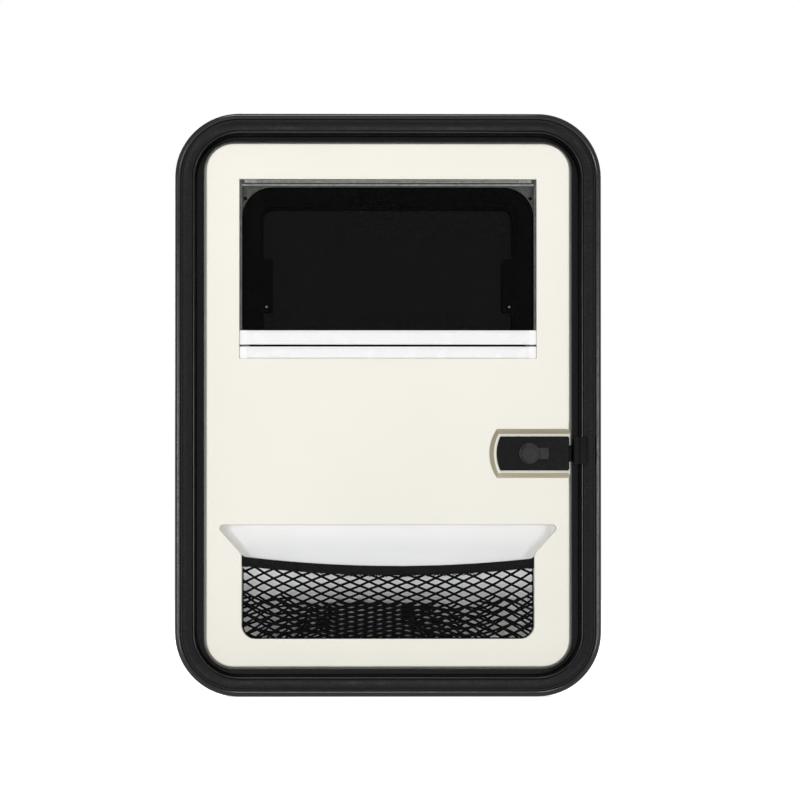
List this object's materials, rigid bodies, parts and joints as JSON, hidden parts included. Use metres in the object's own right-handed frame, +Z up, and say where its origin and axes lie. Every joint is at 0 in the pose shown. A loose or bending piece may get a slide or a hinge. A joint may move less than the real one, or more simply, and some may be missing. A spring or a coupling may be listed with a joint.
{
  "type": "teardrop trailer door",
  "caption": "Hinged entry door for a small teardrop trailer, with clamping frame, moulded inner liner, tinted window with fly screen and blind rails, rotary latch and net pocket.",
  "frame": {"origin": "middle of the bottom member of the outer flange, on the flange's back face, which lies on the outside of the vehicle's wall", "axes": "+X to the latch side as seen from inside, +Y out of the vehicle, +Z up"},
  "size_m": [0.66, 0.0832, 0.903],
  "materials": {
    "black_aluminium": "satin black powder coat",
    "trim_black": "satin black",
    "rubber_black": "matt ribbed rubber",
    "cream_shell": "fine-grained cream moulding",
    "white_skin": "gloss cream coil coat",
    "rail_white": "gloss white paint",
    "cap_white": "gloss white",
    "pocket_white": "matt white",
    "net_black": "knotted black cord",
    "screen_mesh": "fine woven fly screen",
    "tinted_pane": "dark tinted acrylic",
    "window_black": "satin black moulding",
    "latch_black": "fine-grained black moulding",
    "knob_black": "fine-grained black coat on die-cast metal",
    "bare_steel": "zinc-plated steel",
    "grey_aluminium": "mill finish"
  },
  "bodies": {
    "frame": {"outer_frame": "black_aluminium", "inner_trim_ring": "trim_black", "screw_cover_strip": "rubber_black", "frame_seal": "rubber_black", "latch_keeper": "latch_black", "hinge_knuckle_upper": "black_aluminium", "hinge_knuckle_lower": "black_aluminium", "hinge_pin_upper": "bare_steel", "hinge_pin_lower": "bare_steel"},
    "leaf": {"hinge_strap_upper": "black_aluminium", "hinge_strap_lower": "black_aluminium", "leaf_edge_profile": "black_aluminium", "outer_skin": "white_skin", "inner_liner": "cream_shell", "window_frame": "window_black", "window_inner_ring": "window_black", "window_pane": "tinted_pane", "window_seal": "rubber_black", "window_hinge_rail": "black_aluminium", "window_stay_left": "window_black", "window_stay_right": "window_black", "blind_back_frame": "grey_aluminium", "blind_head": "grey_aluminium", "screen_roller": "grey_aluminium", "side_guides": "grey_aluminium", "fly_screen": "screen_mesh", "screen_rail": "rail_white", "blind_rail": "rail_white", "rail_end_caps": "cap_white", "pocket_back": "pocket_white", "pocket_net": "net_black", "pocket_elastic": "net_black", "lock_case": "bare_steel", "lock_plate": "latch_black", "outside_handle_base": "latch_black", "outside_handle_grip": "latch_black", "key_cylinder": "bare_steel"},
    "knob": {"lock_knob": "knob_black"},
    "bolt": {"latch_bolt": "latch_black"}
  },
  "joints": [
    {"name": "door_swing", "type": "hinge", "parent": "frame", "child": "leaf", "pos_m": [-0.322, 0.02, 0.4415], "axis": [0, 0, 1], "range_deg": [0, 110]},
    {"name": "knob_turn", "type": "hinge", "parent": "leaf", "child": "knob", "pos_m": [0.2195, -0.016, 0.3665], "axis": [0, 1, 0], "range_deg": [0, 45]},
    {"name": "bolt_slide", "type": "slide", "parent": "leaf", "child": "bolt", "axis": [1, 0, 0], "range_m": [0, 0.012]}
  ],
  "couplings": [
    {"joint": "bolt_slide", "follows": "knob_turn", "m_per_rad": 0.01527}
  ]
}
